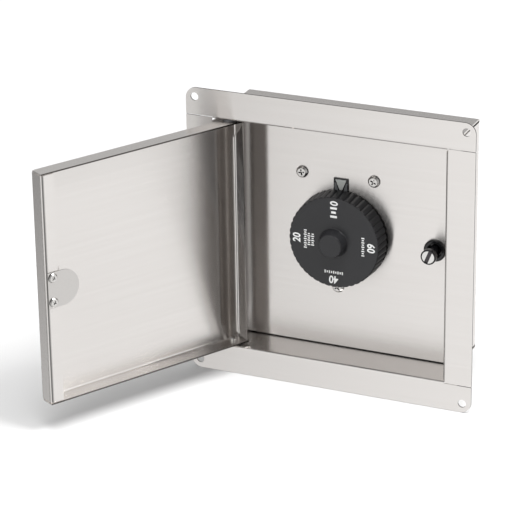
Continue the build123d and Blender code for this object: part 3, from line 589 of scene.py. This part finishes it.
def add_dial_marks():
    """Numbers round the dial, tops outward, with rows of ticks inside them; bars lead to the zero."""
    axis = Vector(joints["dial_turn"]["pos_m"])
    middle = Vector((axis.x, axis.z))
    top = Vector((0, 1))
    for number, degrees_round, rows in DIAL_MARKS:
        turn = radians(degrees_round)
        outward = Vector((sin(turn), cos(turn)))
        add_number("mark_" + number, number, middle + outward * NUMBER_RADIUS, turn)
        for order, (radius, count) in enumerate(rows):
            spot = middle + outward * radius * MM
            add_ticks(f"ticks_{number}_{order}", spot, turn, count, TICK_PITCH, TICK_HEIGHT)
    add_number("mark_0", "0", middle + top * ZERO_RADIUS, QUARTER_TURN)
    add_ticks("bars_0", middle + top * BARS_RADIUS, QUARTER_TURN, BAR_COUNT, BAR_PITCH, BAR_HEIGHT)


add_dial_marks()


# ---- latch spring ----
def add_latch_coil():
    """The latch's spring, as a piece of its own that rides on the root."""
    coil = add_piece("latch_coil", frame["nodes"]["latch_spring"].data.copy(), "root")
    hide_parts("latch_spring")
    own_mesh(coil)


add_latch_coil()


# ---- index tag ----
TAG_BORDER = 0.7 * MM
ARROW_GAP = 0.4 * MM  # dark line left beside the arrow at its widest
TIP_GAP = 1.2 * MM
SHOULDER_DROP = 2.6 * MM  # from the arrow's top to the field's corners
CORNER_DROP = 2.2 * MM


def add_patch(name, corners, front_y, material):
    """Thin raised patch on the panel's front, from its corners in X and Z."""
    shape = bmesh.new()
    back, front = (
        [shape.verts.new((x, y, z)) for x, z in corners] for y in (front_y, front_y - INK)
    )
    shape.faces.new(back)
    shape.faces.new(list(reversed(front)))
    for first in range(len(corners)):
        second = (first + 1) % len(corners)
        shape.faces.new((back[first], front[first], front[second], back[second]))
    bmesh.ops.recalc_face_normals(shape, faces=shape.faces)
    add_piece(name, finished_mesh(name, shape, material), "root")


def add_tag_field():
    """Painted reflection: grey field either side of the tag's arrow, inside its black border, standing for
    the sheen on the tag's glossy black plastic.
    """
    low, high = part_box("index_plate")
    arrow_low, arrow_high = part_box("index_arrow")
    middle = (arrow_low[0] + arrow_high[0]) / 2
    bottom = low[2] + TAG_BORDER
    for name, side, tag_x, arrow_x in (
        ("tag_field_left", -1, low[0], arrow_low[0]),
        ("tag_field_right", 1, high[0], arrow_high[0]),
    ):
        outer = tag_x - side * TAG_BORDER
        inner = middle + side * TIP_GAP
        corners = [
            (outer, arrow_high[2] - CORNER_DROP),
            (arrow_x - side * ARROW_GAP, arrow_high[2] - SHOULDER_DROP),
            (inner, arrow_low[2]),
            (inner, bottom),
            (outer, bottom),
        ]
        add_patch(name, corners, low[1], tag_painted_reflection)


add_tag_field()


# ---- studio ----
FLOOR_DROP = 0.2 * MM
FLOOR_REACH = 8.0
FLOOR_GREY = 0.7
FLOOR_GLOW = 0.07
FLOOR_FADE = (0.5, 3.0)  # distances in metres over which the floor's glow rises to white
WHITE = (1, 1, 1, 1)
# brightness of the room by compass angle, in degrees from +X towards +Y
ROOM_WALLS = (
    (-180, 0.3),
    (-150, 0.4),
    (-121, 0.45),
    (-115, 0.8),
    (-109, 1.0),
    (-98, 1.0),
    (-80, 0.2),
    (-50, 0.2),
    (-28, 0.5),
    (2, 0.85),
    (12, 1.0),
    (60, 1.0),
    (114, 0.5),
    (180, 0.4),
)
# brightness by height of the direction, from level to straight up
ROOM_CEILING = ((0.0, 1.0), (0.5, 1.0), (0.9, 0.55))
# brightness at the far left by depth of the direction below level
ROOM_LEFT = ((0.0, 0.04), (0.35, 0.06), (0.42, 0.9), (0.6, 0.9))
LEFT_FROM = -0.72  # X of the directions where the far left begins, and where it is all there is
LEFT_FULL = -0.85
ROOM_STRENGTH = 1.12


def add_floor():
    """Pale floor at the lower edge of the flange, lifted to white where nothing shades it."""
    level = cad_box[0][2] - FLOOR_DROP
    mesh = bpy.data.meshes.new("studio_floor")
    corners = [(x * FLOOR_REACH, y * FLOOR_REACH, level) for x, y in ((-1, -1), (1, -1), (1, 1), (-1, 1))]
    mesh.from_pydata(corners, [], [(0, 1, 2, 3)])
    floor = bpy.data.objects.new("studio_floor", mesh)
    scene.collection.objects.link(floor)
    shader = Shader("studio_floor")
    shader.set(Base_Color=(FLOOR_GREY, FLOOR_GREY, FLOOR_GREY, 1), Roughness=1.0, Specular_IOR_Level=0.0)
    shader.set(Emission_Color=WHITE)
    distance = shader.vector_math("LENGTH", shader.object_point())
    glow = shader.ramp(distance, FLOOR_GLOW, 1.0, start=FLOOR_FADE[0], end=FLOOR_FADE[1])
    shader.drive("Emission Strength", glow)
    mesh.materials.append(shader.material)
    floor.visible_glossy = False


def add_world():
    """White backdrop; light and reflections come from a room whose brightness changes with direction."""
    world = bpy.data.worlds.new("studio")
    world.use_nodes = True
    room = Nodes(world.node_tree)
    axes = room.split(room.add("TexCoord").outputs["Generated"])
    compass = room.math("ARCTAN2", axes["Y"], axes["X"])
    around = room.ramp(compass, 0.0, 1.0, start=-pi, end=pi)
    walls = room.grey_steps(around, [((angle + 180) / 360, level) for angle, level in ROOM_WALLS])
    ceiling = room.grey_steps(axes["Z"], ROOM_CEILING)
    main = room.mix(1.0, walls, ceiling, blend="MULTIPLY")
    depth = room.math("MULTIPLY", axes["Z"], -1.0)
    far_left = room.grey_steps(depth, ROOM_LEFT)
    leftward = room.ramp(axes["X"], 0.0, 1.0, start=LEFT_FROM, end=LEFT_FULL)
    lit = room.mix(leftward, main, far_left)
    seen = room.mix(room.add("LightPath").outputs["Is Camera Ray"], lit, WHITE)
    background = world.node_tree.nodes["Background"]
    room.link(seen, background.inputs["Color"])
    background.inputs["Strength"].default_value = ROOM_STRENGTH
    scene.world = world


def add_light(name, place, target, side, power, seen_in_gloss=True):
    """Soft square lamp aimed at a point."""
    data = bpy.data.lights.new(name, "AREA")
    data.shape = "SQUARE"
    data.size = side
    data.energy = power
    lamp = bpy.data.objects.new(name, data)
    lamp.location = place
    lamp.rotation_euler = (Vector(target) - Vector(place)).to_track_quat("-Z", "Y").to_euler()
    lamp.visible_glossy = seen_in_gloss
    scene.collection.objects.link(lamp)


add_floor()
add_world()
add_light("key", (0.1, -0.7, 2.3), target=(0, -0.1, 0), side=1.1, power=40, seen_in_gloss=False)
add_light("rim", (0.95, -0.1, 1.5), target=(0, 0, 0), side=0.6, power=26)
scene.view_settings.view_transform = "Standard"
